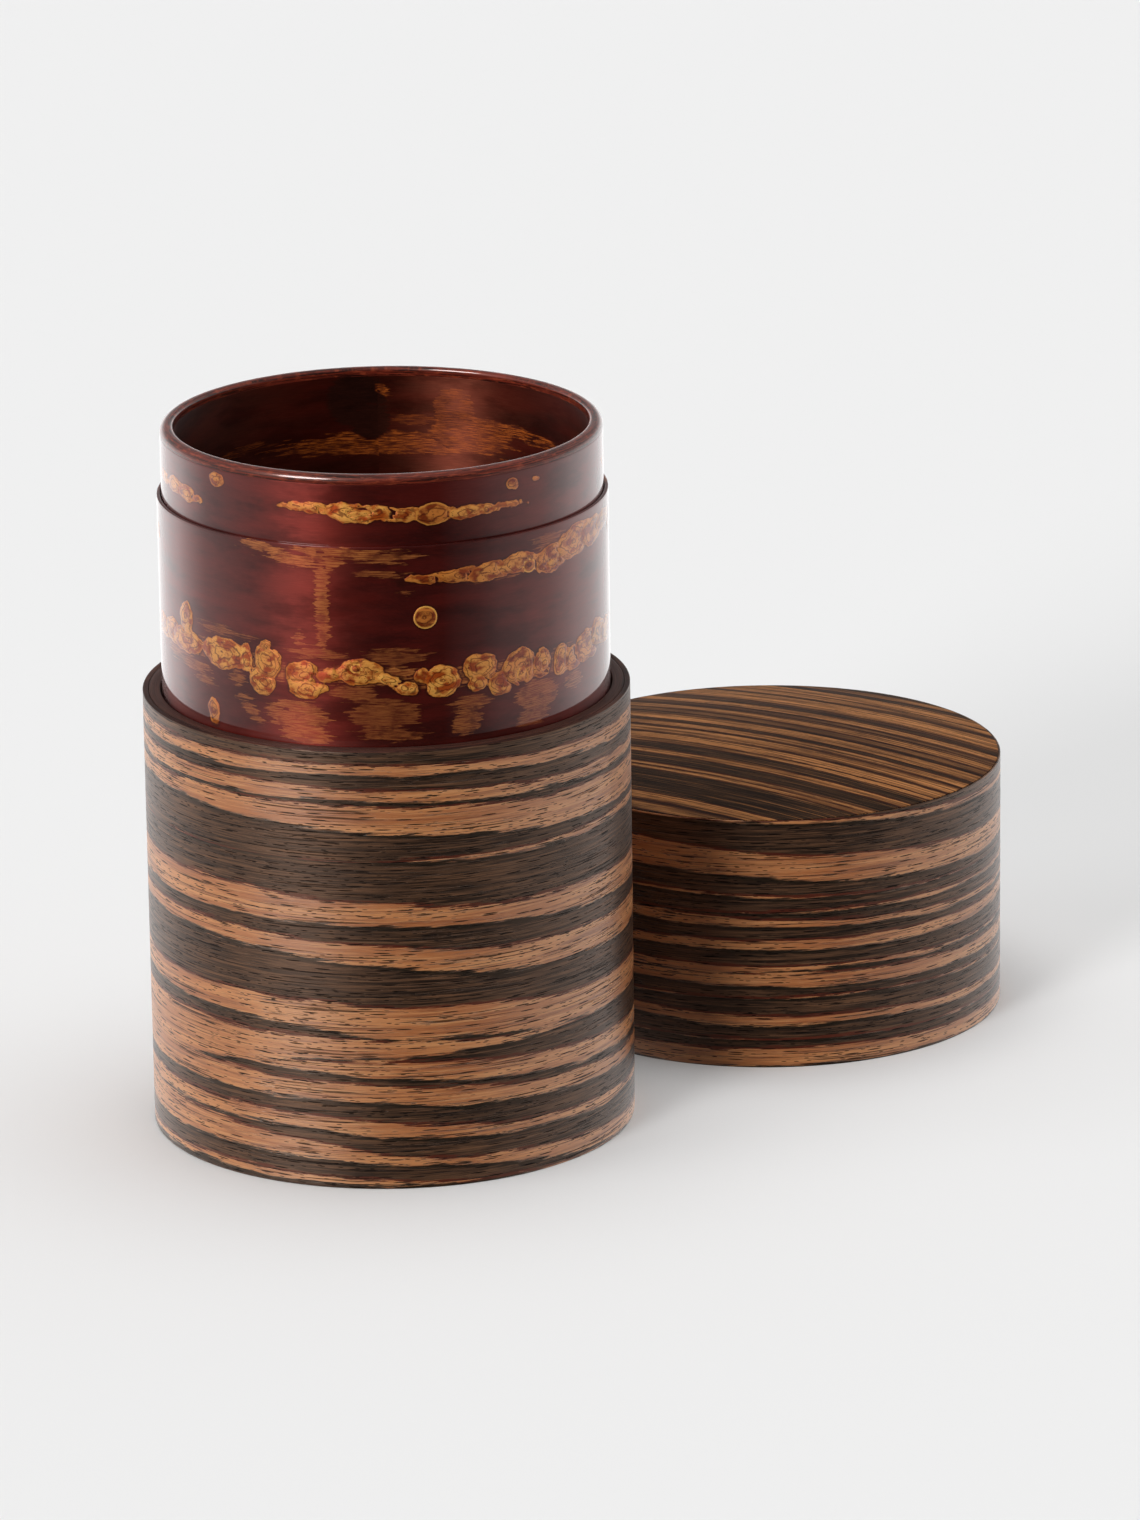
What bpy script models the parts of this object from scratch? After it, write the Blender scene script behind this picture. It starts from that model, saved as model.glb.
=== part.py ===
"""Japanese cherry-bark tea caddy with a striped veneer body, opened up.

The body is a wound wooden tube in a striped veneer. A thin cherry-bark sleeve lines it and stands up
as a neck. A bark-covered inner lid, shaped like a shallow cup, slides in the neck and is drawn part of
the way out. The outer lid has been lifted off and stands on its open end beside the body.

The origin is the centre of the body's underside and +Z is up. Lengths are in millimetres until turned()
and hang_point() turn them into metres.
"""

import math

import bpy

MM = 0.001

# Driving dimensions ---------------------------------------------------------------------------------

OUTER_RADIUS = 40.0        # body and outer lid are flush when the caddy is closed
CLOSED_HEIGHT = 120.0
BODY_HEIGHT = 74.0         # table to the rim that the outer lid closes on
NECK_HEIGHT = 33.0         # sleeve standing above the body's rim
LID_CROWN = 2.4            # rise of the outer lid's top from its edge to its middle
INNER_LID_HEIGHT = 26.0
INNER_LID_RIM = 118.5      # height of the inner lid's rim as it stands, drawn part of the way out
LID_PLACE = (66.0, 55.0)   # where the outer lid stands beside the body

VENEER = 0.8               # striped decorative veneer
BARK = 0.4                 # one glued layer of cherry bark
SLEEVE_WALL = 0.6          # bark laminate of the inner sleeve
TUBE_WALL = 1.9            # wound wooden tube of the body
LID_TUBE_WALL = 1.3        # wound wooden tube of the outer lid, whose bore passes over the neck
BASE_BOARD = 3.0
LID_BOARD = 2.6
INNER_LID_BOARD = 2.6
INNER_LID_RING_WALL = 0.95
INNER_LID_WRAP = 0.5
RIM_STRIP = 1.4            # height of the bark strip over the end of the inner lid's wall
LIP_OUTER_ROUND = 1.2      # its outer edge is rounded more than its inner edge
LIP_INNER_ROUND = 0.6

GLUE_GAP = 0.2             # between pieces glued face to face
SLEEVE_FIT = 0.3           # between the sleeve and the tube around it
SLIDE_FIT = 0.15           # running clearance of the inner lid in the sleeve
NECK_FIT = 0.3             # clearance of the outer lid's bore around the neck

SEGMENTS = 60
CROWN_STEPS = 3
LIP_STEPS = 2
MERGE_DISTANCE = 0.00001   # metres
SMOOTH_ANGLE = math.radians(30)

# Worked-out radii, from the outside of the wall inwards ----------------------------------------------

CORE_OUTER = OUTER_RADIUS - VENEER - GLUE_GAP
BODY_CORE_INNER = CORE_OUTER - TUBE_WALL
SLEEVE_OUTER = BODY_CORE_INNER - SLEEVE_FIT
SLEEVE_INNER = SLEEVE_OUTER - SLEEVE_WALL

INNER_WRAP_OUTER = SLEEVE_INNER - SLIDE_FIT
INNER_WRAP_INNER = INNER_WRAP_OUTER - INNER_LID_WRAP
INNER_RING_OUTER = INNER_WRAP_INNER - GLUE_GAP
INNER_RING_INNER = INNER_RING_OUTER - INNER_LID_RING_WALL
INNER_LINING_OUTER = INNER_RING_INNER - GLUE_GAP
INNER_LINING_INNER = INNER_LINING_OUTER - BARK

LID_LINING_INNER = SLEEVE_OUTER + NECK_FIT
LID_LINING_OUTER = LID_LINING_INNER + BARK
LID_CORE_INNER = CORE_OUTER - LID_TUBE_WALL

# Worked-out heights ----------------------------------------------------------------------------------

BASE_BOARD_BOTTOM = BARK + GLUE_GAP
BASE_BOARD_TOP = BASE_BOARD_BOTTOM + BASE_BOARD
SLEEVE_BOTTOM = BASE_BOARD_TOP + GLUE_GAP
NECK_TOP = BODY_HEIGHT + NECK_HEIGHT

LID_EDGE_HEIGHT = CLOSED_HEIGHT - BODY_HEIGHT - LID_CROWN
LID_VENEER_BOTTOM = LID_EDGE_HEIGHT - VENEER
LID_BOARD_TOP = LID_VENEER_BOTTOM - GLUE_GAP
LID_BOARD_BOTTOM = LID_BOARD_TOP - LID_BOARD
LID_CEILING_TOP = LID_BOARD_BOTTOM - GLUE_GAP
LID_CEILING_BOTTOM = LID_CEILING_TOP - BARK

INNER_BOARD_BOTTOM = BARK + GLUE_GAP
INNER_BOARD_TOP = INNER_BOARD_BOTTOM + INNER_LID_BOARD
INNER_FLOOR_BOTTOM = INNER_BOARD_TOP + GLUE_GAP
INNER_FLOOR_TOP = INNER_FLOOR_BOTTOM + BARK
INNER_WALL_TOP = INNER_LID_HEIGHT - RIM_STRIP - GLUE_GAP


# Tools ------------------------------------------------------------------------------------------------

def clear_scene():
    for obj in list(bpy.data.objects):
        bpy.data.objects.remove(obj, do_unlink=True)


def make_material(name, colour, roughness):
    material = bpy.data.materials.new(name)
    material.use_nodes = True
    shader = material.node_tree.nodes["Principled BSDF"]
    shader.inputs["Base Color"].default_value = (*colour, 1.0)
    shader.inputs["Roughness"].default_value = roughness
    shader.inputs["Metallic"].default_value = 0.0
    return material


def tube_profile(inner, outer, bottom, top):
    """Closed outline of a tube's wall, down its outer side and up its inner side."""
    return [(inner, top), (outer, top), (outer, bottom), (inner, bottom)]


def disc_profile(radius, bottom, top):
    """Outline of a disc, from its middle down round its edge and back to the axis."""
    return [(0.0, top), (radius, top), (radius, bottom), (0.0, bottom)]


def crown_height(radius, edge_height):
    """Height of the outer lid's domed top, which falls by LID_CROWN from the middle to the edge."""
    return edge_height + LID_CROWN * (1.0 - (radius / OUTER_RADIUS) ** 2)


def crown_points(radius, edge_height):
    """Points on the dome, from the axis out to the given radius."""
    radii = [radius * step / CROWN_STEPS for step in range(CROWN_STEPS + 1)]
    return [(r, crown_height(r, edge_height)) for r in radii]


def turned(name, profile, material, closed=True, parent=None):
    """Turn an outline in the XZ plane about the Z axis into one solid."""
    edges = [(index, index + 1) for index in range(len(profile) - 1)]
    if closed:
        edges.append((len(profile) - 1, 0))
    outline = bpy.data.meshes.new(name)
    outline.from_pydata([(r * MM, 0.0, z * MM) for r, z in profile], edges, [])
    obj = bpy.data.objects.new(name, outline)
    parts.objects.link(obj)

    screw = obj.modifiers.new("Turn", "SCREW")
    screw.steps = SEGMENTS
    screw.render_steps = SEGMENTS
    screw.use_merge_vertices = True
    screw.merge_threshold = MERGE_DISTANCE

    solid = bpy.data.meshes.new_from_object(obj.evaluated_get(bpy.context.evaluated_depsgraph_get()))
    solid.name = name
    solid.shade_smooth()
    solid.set_sharp_from_angle(angle=SMOOTH_ANGLE)
    solid.materials.append(material)
    obj.modifiers.clear()
    obj.data = solid
    bpy.data.meshes.remove(outline)
    obj.parent = parent
    return obj


def hang_point(name, place):
    """An empty on a moving piece's axis, for the pieces that move with it."""
    empty = bpy.data.objects.new(name, None)
    empty.location = tuple(value * MM for value in place)
    empty.empty_display_size = 0.02
    parts.objects.link(empty)
    return empty


# Body -------------------------------------------------------------------------------------------------

def build_body():
    wall = tube_profile(CORE_OUTER + GLUE_GAP, OUTER_RADIUS, 0.0, BODY_HEIGHT)
    turned("body_veneer_wrap", wall, veneer)

    core = tube_profile(BODY_CORE_INNER, CORE_OUTER, BASE_BOARD_BOTTOM, BODY_HEIGHT)
    turned("body_core_tube", core, core_wood)

    underside = disc_profile(CORE_OUTER, 0.0, BARK)
    turned("base_bark_disc", underside, bark, closed=False)

    board = disc_profile(BODY_CORE_INNER - GLUE_GAP, BASE_BOARD_BOTTOM, BASE_BOARD_TOP)
    turned("base_board", board, core_wood, closed=False)

    sleeve = tube_profile(SLEEVE_INNER, SLEEVE_OUTER, SLEEVE_BOTTOM, NECK_TOP)
    turned("inner_sleeve", sleeve, bark)

    floor = disc_profile(SLEEVE_INNER - GLUE_GAP, SLEEVE_BOTTOM, SLEEVE_BOTTOM + BARK)
    turned("chamber_floor_bark", floor, bark_lining, closed=False)


# Inner lid --------------------------------------------------------------------------------------------

def quarter_round(middle, top, radius, side):
    """Points from the side of a rounded edge up to its top, side being +1 outwards and -1 inwards."""
    points = []
    for step in range(LIP_STEPS + 1):
        angle = math.radians(90.0) * step / LIP_STEPS
        points.append((middle + side * radius * math.cos(angle), top - radius * (1.0 - math.sin(angle))))
    return points


def lip_profile():
    """The strip over the end of the wall: flat below, rounded over above."""
    top = INNER_LID_HEIGHT
    bottom = top - RIM_STRIP
    inner_round = quarter_round(INNER_LINING_INNER + LIP_INNER_ROUND, top, LIP_INNER_ROUND, -1)
    outer_round = quarter_round(INNER_WRAP_OUTER - LIP_OUTER_ROUND, top, LIP_OUTER_ROUND, 1)
    outline = [(INNER_LINING_INNER, bottom)] + inner_round
    outline += reversed(outer_round)
    outline.append((INNER_WRAP_OUTER, bottom))
    return outline


def build_inner_lid():
    axis = hang_point("inner_lid_axis", (0.0, 0.0, INNER_LID_RIM - INNER_LID_HEIGHT))

    wrap = tube_profile(INNER_WRAP_INNER, INNER_WRAP_OUTER, 0.0, INNER_WALL_TOP)
    turned("inner_lid_bark_wrap", wrap, bark, parent=axis)

    ring = tube_profile(INNER_RING_INNER, INNER_RING_OUTER, INNER_BOARD_BOTTOM, INNER_WALL_TOP)
    turned("inner_lid_core_ring", ring, core_wood, parent=axis)

    lining = tube_profile(INNER_LINING_INNER, INNER_LINING_OUTER, INNER_FLOOR_BOTTOM, INNER_WALL_TOP)
    turned("inner_lid_lining", lining, bark_lining, parent=axis)

    turned("inner_lid_rim_strip", lip_profile(), bark, parent=axis)

    board = disc_profile(INNER_LINING_OUTER, INNER_BOARD_BOTTOM, INNER_BOARD_TOP)
    turned("inner_lid_board", board, core_wood, closed=False, parent=axis)

    floor = disc_profile(INNER_LINING_INNER - GLUE_GAP, INNER_FLOOR_BOTTOM, INNER_FLOOR_TOP)
    turned("inner_lid_floor_bark", floor, bark_lining, closed=False, parent=axis)

    underside = disc_profile(INNER_WRAP_INNER - GLUE_GAP, 0.0, BARK)
    turned("inner_lid_base_bark", underside, bark, closed=False, parent=axis)


# Outer lid --------------------------------------------------------------------------------------------

def build_outer_lid():
    axis = hang_point("outer_lid_axis", (*LID_PLACE, 0.0))

    wall = tube_profile(CORE_OUTER + GLUE_GAP, OUTER_RADIUS, 0.0, LID_VENEER_BOTTOM - GLUE_GAP)
    turned("lid_veneer_wrap", wall, veneer, parent=axis)

    core = tube_profile(LID_CORE_INNER, CORE_OUTER, 0.0, LID_BOARD_TOP)
    turned("lid_core_tube", core, core_wood, parent=axis)

    lining = tube_profile(LID_LINING_INNER, LID_LINING_OUTER, 0.0, LID_CEILING_TOP)
    turned("lid_lining", lining, bark_lining, parent=axis)

    ceiling = disc_profile(LID_LINING_INNER - GLUE_GAP, LID_CEILING_BOTTOM, LID_CEILING_TOP)
    turned("lid_ceiling_bark", ceiling, bark_lining, closed=False, parent=axis)

    board_radius = LID_CORE_INNER - GLUE_GAP
    board = crown_points(board_radius, LID_BOARD_TOP)
    board += [(board_radius, LID_BOARD_BOTTOM), (0.0, LID_BOARD_BOTTOM)]
    turned("lid_top_board", board, core_wood, closed=False, parent=axis)

    top = crown_points(OUTER_RADIUS, LID_EDGE_HEIGHT)
    top += reversed(crown_points(OUTER_RADIUS, LID_VENEER_BOTTOM))
    turned("lid_top_veneer", top, veneer, closed=False, parent=axis)


# Assembly ---------------------------------------------------------------------------------------------

clear_scene()
parts = bpy.data.collections.new("tea_caddy")
bpy.context.scene.collection.children.link(parts)

veneer = make_material("striped_veneer", (0.16, 0.085, 0.045), 0.42)
bark = make_material("polished_cherry_bark", (0.16, 0.022, 0.018), 0.14)
bark_lining = make_material("cherry_bark_lining", (0.09, 0.016, 0.012), 0.22)
core_wood = make_material("wound_core_wood", (0.055, 0.028, 0.018), 0.5)

build_body()
build_inner_lid()
build_outer_lid()
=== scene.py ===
"""Looks of the cherry-bark tea caddy: fine turned meshes around the CAD frame, and their materials.

Lengths in this file are millimetres and angles are degrees unless a name says otherwise. An azimuth is
measured round a piece's own axis: 0 faces -Y, where the camera is, and +90 faces +X.
"""

import math

import bpy
import numpy as np
from mathutils import Matrix, Vector


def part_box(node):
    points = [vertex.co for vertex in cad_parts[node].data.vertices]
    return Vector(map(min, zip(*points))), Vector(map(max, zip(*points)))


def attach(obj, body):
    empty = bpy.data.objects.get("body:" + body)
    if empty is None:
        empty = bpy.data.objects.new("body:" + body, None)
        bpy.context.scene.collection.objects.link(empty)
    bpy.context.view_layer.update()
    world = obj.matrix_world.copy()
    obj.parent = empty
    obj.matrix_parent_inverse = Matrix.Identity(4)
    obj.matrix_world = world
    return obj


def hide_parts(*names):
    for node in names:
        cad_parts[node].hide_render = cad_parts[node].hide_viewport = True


MM = 0.001

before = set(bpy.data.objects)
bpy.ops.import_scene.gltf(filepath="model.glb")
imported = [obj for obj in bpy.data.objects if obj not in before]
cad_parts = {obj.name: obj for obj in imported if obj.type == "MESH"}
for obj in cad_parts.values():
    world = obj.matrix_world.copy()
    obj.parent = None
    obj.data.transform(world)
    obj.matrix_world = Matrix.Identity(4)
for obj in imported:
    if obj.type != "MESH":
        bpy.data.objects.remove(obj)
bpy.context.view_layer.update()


# Sizes read from the frame --------------------------------------------

def cad_points(node):
    """Every corner point of a CAD node, in millimetres."""
    return np.array([v.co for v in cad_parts[node].data.vertices]) / MM


class Turned:
    """Centre, radii and heights of a turned CAD node, in millimetres."""

    def __init__(self, node):
        low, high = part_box(node)
        points = cad_points(node)
        self.x = (low.x + high.x) / 2 / MM
        self.y = (low.y + high.y) / 2 / MM
        radii = np.hypot(points[:, 0] - self.x, points[:, 1] - self.y)
        self.inner = float(radii.min())
        self.outer = float(radii.max())
        self.bottom = low.z / MM
        self.top = high.z / MM


body_wrap = Turned("body_veneer_wrap")
body_core = Turned("body_core_tube")
base_disc = Turned("base_bark_disc")
sleeve = Turned("inner_sleeve")
cup_wrap = Turned("inner_lid_bark_wrap")
cup_lining = Turned("inner_lid_lining")
cup_lip = Turned("inner_lid_rim_strip")
cup_floor = Turned("inner_lid_floor_bark")
cup_base = Turned("inner_lid_base_bark")
lid_wrap = Turned("lid_veneer_wrap")
lid_core = Turned("lid_core_tube")
lid_lining = Turned("lid_lining")
lid_ceiling = Turned("lid_ceiling_bark")
lid_top = Turned("lid_top_veneer")


# Turned meshes --------------------------------------------------------

SEAM = 180.0  # azimuth where a rolled sheet's two ends meet: the back
SHARP_EDGE = 35.0  # a bend of more degrees than this is shaded as an edge
SAME = 1e-6  # lengths closer than this are one length
EDGE_STEPS = 2  # straight steps round a small rounded edge
DISC_EDGE = 0.1  # rounding of a disc's edges

# Columns round a piece: what hardly shows, the veneer and the rim strip, the lining, and the marked bark.
COLUMNS_HIDDEN, COLUMNS_VENEER, COLUMNS_LINING, COLUMNS_BARK = 192, 288, 360, 480


class Surface:
    """Face corners of a turned mesh: azimuth, radius and height of each, and the azimuth's arc length.

    The arc is measured at the mesh's widest radius.
    """

    def __init__(self, azimuth, radius, height, wide):
        self.azimuth = azimuth
        self.radius = radius
        self.height = height
        self.arc = np.radians(azimuth) * wide

    def flat(self):
        """X and Y of each face corner, from the piece's own axis."""
        angle = np.radians(self.azimuth)
        return self.radius * np.sin(angle), -self.radius * np.cos(angle)


def turn(name, outline, centre, columns, closed=True, relief=None):
    """Turn an outline of (radius, height) points, down its outer side, into one closed mesh.

    An outline that starts and ends on the axis is a disc and isn't closed. relief(azimuth, height)
    lifts the outer side by that many millimetres.
    """
    points = np.array(outline, float)
    widest = points[:, 0].max()
    steps = np.linspace(0.0, 360.0, columns + 1) + SEAM - 360.0
    angle = np.radians(steps[:-1])
    rings, verts = [], []
    for radius, height in points:
        if radius < SAME:
            rings.append(np.full(columns + 1, len(verts)))
            verts.append((centre[0], centre[1], height))
            continue
        first = len(verts)
        lifted = np.full(columns, radius)
        if relief is not None and radius > widest - SAME:
            lifted = radius + relief(steps[:-1], np.full(columns, height))
        across = centre[0] + lifted * np.sin(angle)
        along = centre[1] - lifted * np.cos(angle)
        verts.extend(zip(across, along, np.full(columns, height)))
        rings.append(first + np.arange(columns + 1) % columns)

    pairs = [(i, i + 1) for i in range(len(points) - 1)]
    if closed:
        pairs.append((len(points) - 1, 0))
    faces, azimuth, radius, height = [], [], [], []
    for upper, lower in pairs:
        up, down = rings[upper], rings[lower]
        for j in range(columns):
            corners = [(up[j], j, upper), (down[j], j, lower),
                       (down[j + 1], j + 1, lower), (up[j + 1], j + 1, upper)]
            if up[j] == up[j + 1]:
                corners = corners[:3]
            if down[j] == down[j + 1]:
                corners = corners[:2] + corners[3:]
            faces.append([int(corner[0]) for corner in corners])
            azimuth.extend(steps[corner[1]] for corner in corners)
            radius.extend(points[corner[2], 0] for corner in corners)
            height.extend(points[corner[2], 1] for corner in corners)

    mesh = bpy.data.meshes.new(name)
    mesh.from_pydata([tuple(float(c) * MM for c in v) for v in verts], [], faces)
    mesh.update()
    obj = bpy.data.objects.new(name, mesh)
    bpy.context.scene.collection.objects.link(obj)
    mesh.shade_smooth()
    mesh.set_sharp_from_angle(angle=math.radians(SHARP_EDGE))
    return obj, Surface(np.array(azimuth), np.array(radius), np.array(height), widest)


def store(obj, name, values):
    """Keep one number per face corner, for the material to read."""
    layer = obj.data.attributes.new(name, "FLOAT", "CORNER")
    layer.data.foreach_set("value", np.asarray(values, np.float32))


def store_sheet(obj, across, along):
    """Flat coordinates of the rolled or cut sheet, in millimetres, as the UV map."""
    layer = obj.data.uv_layers.new(name="sheet")
    flat = np.stack([across, along], 1).astype(np.float32)
    layer.data.foreach_set("uv", flat.ravel())


def arc_points(middle, radius, start, end, steps):
    """Points on a round edge: middle (r, z), and angles from +r towards +z."""
    angles = np.radians(np.linspace(start, end, steps + 1))
    return [(middle[0] + radius * math.cos(a), middle[1] + radius * math.sin(a)) for a in angles]


def wall_outline(inner, outer, bottom, top, rows, edge):
    """A wall with edges rounded by that radius and its outer side cut in rows."""
    points = arc_points((inner + edge, top - edge), edge, 180, 90, EDGE_STEPS)
    points += arc_points((outer - edge, top - edge), edge, 90, 0, EDGE_STEPS)
    points += [(outer, z) for z in np.linspace(top - edge, bottom + edge, rows + 1)[1:-1]]
    points += arc_points((outer - edge, bottom + edge), edge, 0, -90, EDGE_STEPS)
    points += arc_points((inner + edge, bottom + edge), edge, 270, 180, EDGE_STEPS)
    return points


def disc_outline(radius, bottom, top, rings):
    """A disc with its upper face cut in rings, from the axis back to the axis."""
    flat = radius - DISC_EDGE
    points = [(r, top) for r in np.linspace(0.0, flat, rings + 1)[:-1]]
    points += arc_points((flat, top - DISC_EDGE), DISC_EDGE, 90, 0, EDGE_STEPS)
    points += arc_points((flat, bottom + DISC_EDGE), DISC_EDGE, 0, -90, EDGE_STEPS)
    points.append((0.0, bottom))
    return points


# Stripes of the veneer ------------------------------------------------

# Each tan stripe gives its upper and lower edge at five azimuths across the front, from left to right.
FRONT = (-40.0, -20.0, 0.0, 20.0, 40.0)
BODY_STRIPES = [
    ((71.8, 71.8, 71.6, 71.2, 71.1), (69.9, 70.0, 69.8, 69.8, 69.1)),
    ((68.1, 67.9, 67.3, 66.8, 66.4), (65.8, 65.8, 65.4, 65.0, 64.6)),
    ((65.0, 65.0, 64.7, 64.1, 63.5), (61.8, 61.0, 59.9, 59.5, 58.4)),
    ((55.4, 55.4, 55.45, 55.6, 56.0), (55.6, 55.6, 55.5, 55.2, 55.2)),
    ((49.8, 49.3, 48.4, 47.0, 46.8), (45.0, 45.0, 44.6, 44.1, 43.1)),
    ((42.6, 42.0, 41.3, 39.8, 39.5), (40.0, 39.0, 37.8, 35.8, 35.1)),
    ((32.0, 31.8, 30.7, 30.5, 29.5), (27.8, 27.1, 25.4, 24.9, 24.2)),
    ((25.8, 25.6, 25.0, 24.6, 24.0), (19.8, 22.2, 22.2, 23.2, 23.6)),
    ((20.6, 21.6, 21.9, 21.0, 20.0), (19.7, 19.6, 19.0, 17.6, 16.6)),
    ((18.4, 18.0, 17.5, 16.5, 15.3), (14.8, 14.8, 14.5, 13.3, 12.6)),
    ((12.5, 12.4, 11.2, 9.9, 9.0), (10.0, 9.9, 8.8, 7.8, 7.4)),
    ((9.0, 7.8, 5.3, 4.8, 3.8), (5.0, 4.8, 4.0, 3.1, 1.5)),
    ((2.1, 2.0, 1.3, 0.4, 0.2), (0.9, 0.9, 0.6, 0.2, 0.1)),
]
LID_STRIPES = [
    ((43.8, 43.6, 43.5, 43.2, 42.3), (43.3, 43.2, 43.0, 42.4, 41.4)),
    ((39.3, 38.6, 37.4, 36.8, 35.8), (34.4, 34.1, 33.3, 32.2, 31.4)),
    ((31.0, 30.7, 30.2, 29.7, 29.4), (30.6, 30.2, 29.8, 29.6, 29.4)),
    ((27.2, 27.3, 27.6, 27.5, 27.4), (27.2, 27.2, 27.3, 27.2, 26.9)),
    ((27.0, 26.8, 26.0, 25.4, 24.8), (25.2, 24.8, 24.9, 24.4, 23.8)),
    ((22.2, 22.6, 22.5, 22.3, 22.2), (20.8, 20.9, 20.7, 20.4, 20.2)),
    ((18.2, 18.0, 17.8, 17.9, 17.4), (16.8, 16.6, 17.0, 17.3, 16.9)),
    ((16.6, 16.4, 16.7, 16.2, 15.8), (14.6, 14.4, 14.2, 13.8, 13.4)),
    ((12.3, 12.3, 12.4, 12.5, 12.0), (12.1, 12.1, 12.2, 12.2, 11.7)),
    ((9.9, 9.3, 9.1, 9.0, 8.2), (8.3, 7.4, 7.3, 7.6, 6.8)),
    ((5.2, 5.0, 5.0, 4.8, 4.6), (5.1, 4.9, 4.8, 4.7, 4.5)),
    ((3.2, 3.0, 3.3, 3.2, 2.8), (0.2, 0.0, 0.1, 0.2, 0.2)),
]
# Across the lid's top the grain is straight. Each stripe gives its two edges, and how tan it is.
TOP_STRIPES = [
    (-39.0, -36.4, 0.7), (-35.3, -32.6, 1.0), (-22.8, -21.6, 1.0), (-21.2, -20.1, 0.7), (-15.6, -13.7, 1.0),
    (-9.9, -8.7, 1.0), (-8.3, -5.6, 1.0), (-4.7, -1.9, 1.0), (-0.8, 1.1, 0.9), (2.9, 5.9, 1.0), (7.4, 9.0, 0.4),
    (9.8, 12.0, 0.9), (13.4, 14.3, 0.3), (15.2, 17.4, 1.0), (19.6, 20.1, 0.3), (20.6, 25.8, 1.0),
    (27.2, 29.4, 0.8), (29.8, 33.4, 1.0), (35.6, 37.8, 0.7),
]
TOP_GRAIN = -36.0  # azimuth of the grain on the lid's top
# Where the lid's side and top lie on the veneer's endless noise, so that neither repeats the body's.
LID_SHEET = 200.0
TOP_SHEET = 400.0
NO_STRIPE = -50.0  # depth inside a stripe where there is none
DARK_WOOD = -3.0  # depth given to a wrap's bore and ends, which have no stripes
SKIN = 0.3  # from this far inside the outer side, a wrap is bore or end

# Past the front a stripe goes on along its own slope, by this many of its last steps.
SIDEWAYS = ((65.0, 0.8), (110.0, 1.4), (180.0, 1.6))
DRIFT = 0.5  # how far its edge then strays by the back
SMOOTHING = 11  # degrees on each side over which its corners are rounded


def extended(values, azimuth, order):
    """A stripe's edge all round: the chosen front values, then a slow drift towards the back."""
    left_slope = values[0] - values[1]
    right_slope = values[4] - values[3]
    drift = [DRIFT * math.sin(order * 1.7 + k * 2.1) for k in range(4)]
    left = [values[0] + left_slope * steps + stray
            for (_, steps), stray in zip(SIDEWAYS, (0.0, drift[1], drift[0]))]
    right = [values[4] + right_slope * steps + stray
             for (_, steps), stray in zip(SIDEWAYS, (0.0, drift[2], drift[3]))]
    past = [station for station, _ in SIDEWAYS]
    stations = [*(-station for station in reversed(past)), *FRONT, *past]
    fine = np.linspace(-180.0, 180.0, 361)
    line = np.interp(fine, stations, [*reversed(left), *values, *right])
    kernel = np.hanning(2 * SMOOTHING + 1)
    line = np.convolve(np.pad(line, SMOOTHING, mode="edge"), kernel / kernel.sum(), mode="valid")
    return np.interp(azimuth, fine, line)


def stripe_fields(azimuth, height, stripes):
    """Depth in millimetres inside the nearest tan stripe, and +1 near its upper edge or -1 near its lower."""
    inside = np.full(azimuth.shape, NO_STRIPE)
    side = np.zeros(azimuth.shape)
    for order, (upper, lower) in enumerate(stripes):
        top = extended(upper, azimuth, order)
        bottom = extended(lower, azimuth, order + 0.35)
        depth = np.minimum(top - height, height - bottom)
        nearer = depth > inside
        inside = np.where(nearer, depth, inside)
        side = np.where(nearer, np.sign(height - (top + bottom) / 2), side)
    return inside, side


def store_stripes(obj, surface, stripes, sheet=0.0):
    """Stripes and flat coordinates of a veneer wrap, whose outer side alone is striped."""
    inside, side = stripe_fields(surface.azimuth, surface.height, stripes)
    under = surface.radius < surface.radius.max() - SKIN
    store(obj, "tan", np.where(under, DARK_WOOD, inside))
    store(obj, "side", side)
    store_sheet(obj, surface.arc, surface.height + sheet)


# Marks in the cherry bark ---------------------------------------------

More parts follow.
